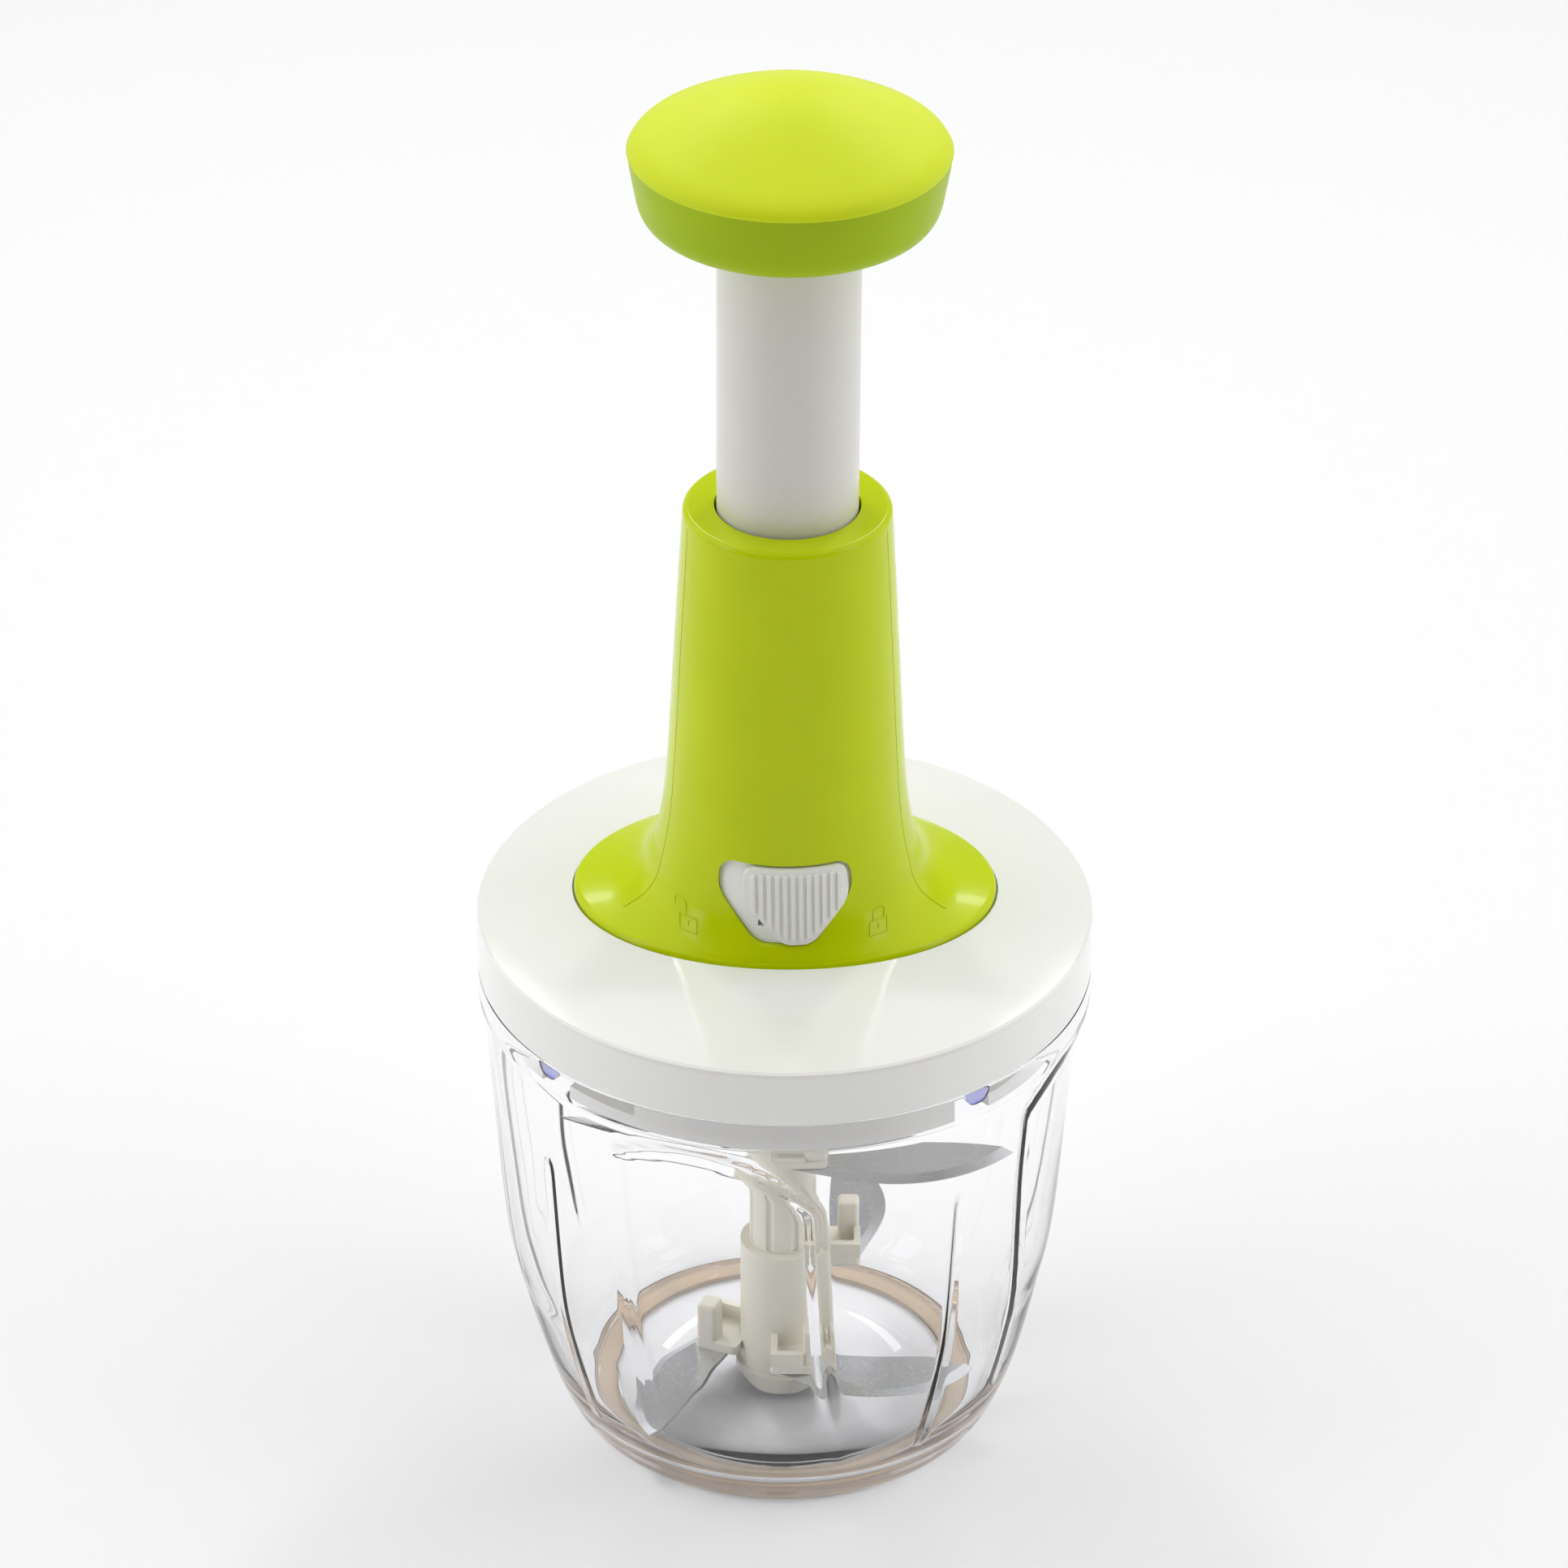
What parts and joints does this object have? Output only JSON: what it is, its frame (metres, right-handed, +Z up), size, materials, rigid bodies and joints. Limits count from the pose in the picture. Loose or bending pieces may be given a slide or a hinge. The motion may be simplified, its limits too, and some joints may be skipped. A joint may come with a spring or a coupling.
{
  "type": "hand press food chopper",
  "caption": "Hand-press food chopper: a palm knob pushes a plunger down a twisted rod that spins sickle blades in a clear bowl under a bayonet lid.",
  "frame": {"origin": "centre of the base, on the surface that the anti-slip ring stands on", "axes": "+Z up along the axis of the bowl, blades and plunger; -Y is the front, where the handle lock is; +X to the right of a person facing the front"},
  "size_m": [0.13, 0.13, 0.3138],
  "materials": {
    "clear_bowl": "clear moulded plastic with a faint lavender tint in its edges",
    "beige_silicone": "warm beige silicone, matte",
    "clear_silicone": "translucent white silicone",
    "lid_white": "glossy off-white moulded plastic",
    "button_white": "satin off-white moulded plastic",
    "tube_white": "satin off-white moulded plastic",
    "lime_gloss": "glossy lime green moulded plastic",
    "lime_satin": "satin lime green moulded plastic",
    "lime_soft": "soft-touch lime green",
    "acetal": "natural white acetal",
    "ivory": "ivory moulded plastic",
    "steel": "machined steel",
    "spring_steel": "bright drawn wire",
    "blade_steel": "finely ground stainless steel with a bevelled edge"
  },
  "bodies": {
    "bowl": {"bowl": "clear_bowl", "anti_slip_ring": "beige_silicone", "pivot_pin": "steel"},
    "seal": {"lid_seal_ring": "clear_silicone"},
    "lid": {"lid_cover": "lid_white", "lid_base": "lid_white", "socket_retainer": "lid_white", "bearing_bush": "acetal", "tower_housing": "lime_gloss", "housing_screws": "steel", "lock_pocket": "lid_white", "return_spring": "spring_steel"},
    "lock": {"lock_button": "button_white", "lock_ring": "acetal"},
    "plunger": {"plunger_tube": "tube_white", "knob_screws": "steel", "knob_base": "lime_satin", "knob_cap": "lime_soft", "helix_nut": "acetal"},
    "drive": {"drive_rod": "steel", "rod_clip": "spring_steel", "clutch_driver": "acetal"},
    "socket": {"drive_socket": "ivory"},
    "blades": {"lower_blade_shaft": "ivory", "upper_blade_shaft": "ivory", "blade_lower_left": "blade_steel", "blade_lower_right": "blade_steel", "blade_middle": "blade_steel", "blade_upper_left": "blade_steel", "blade_upper_right": "blade_steel"}
  },
  "joints": [
    {"name": "lid_lift", "type": "slide", "parent": "bowl", "child": "seal", "axis": [0, 0, 1], "range_m": [0, 0.13]},
    {"name": "lid_turn", "type": "hinge", "parent": "seal", "child": "lid", "pos_m": [0, 0, 0.112], "axis": [0, 0, 1], "range_deg": [-16, 0]},
    {"name": "handle_press", "type": "slide", "parent": "lid", "child": "plunger", "axis": [0, 0, -1], "range_m": [0, 0.06], "stiffness_N_per_m": 260, "springref_m": -0.02, "deforming": ["return_spring"]},
    {"name": "lock_turn", "type": "hinge", "parent": "lid", "child": "lock", "pos_m": [0, 0, 0.131], "axis": [0, 0, 1], "range_deg": [-10, 0]},
    {"name": "rod_spin", "type": "hinge", "parent": "lid", "child": "drive", "pos_m": [0, 0, 0.118], "axis": [0, 0, 1], "continuous": true},
    {"name": "socket_spin", "type": "hinge", "parent": "lid", "child": "socket", "pos_m": [0, 0, 0.095], "axis": [0, 0, 1], "continuous": true},
    {"name": "blade_spin", "type": "hinge", "parent": "bowl", "child": "blades", "pos_m": [0, 0, 0.02], "axis": [0, 0, 1], "continuous": true}
  ],
  "couplings": [
    {"joint": "rod_spin", "follows": "handle_press", "rad_per_m": -104.72},
    {"joint": "socket_spin", "follows": "handle_press", "rad_per_m": -104.72},
    {"joint": "blade_spin", "follows": "handle_press", "rad_per_m": -104.72}
  ]
}
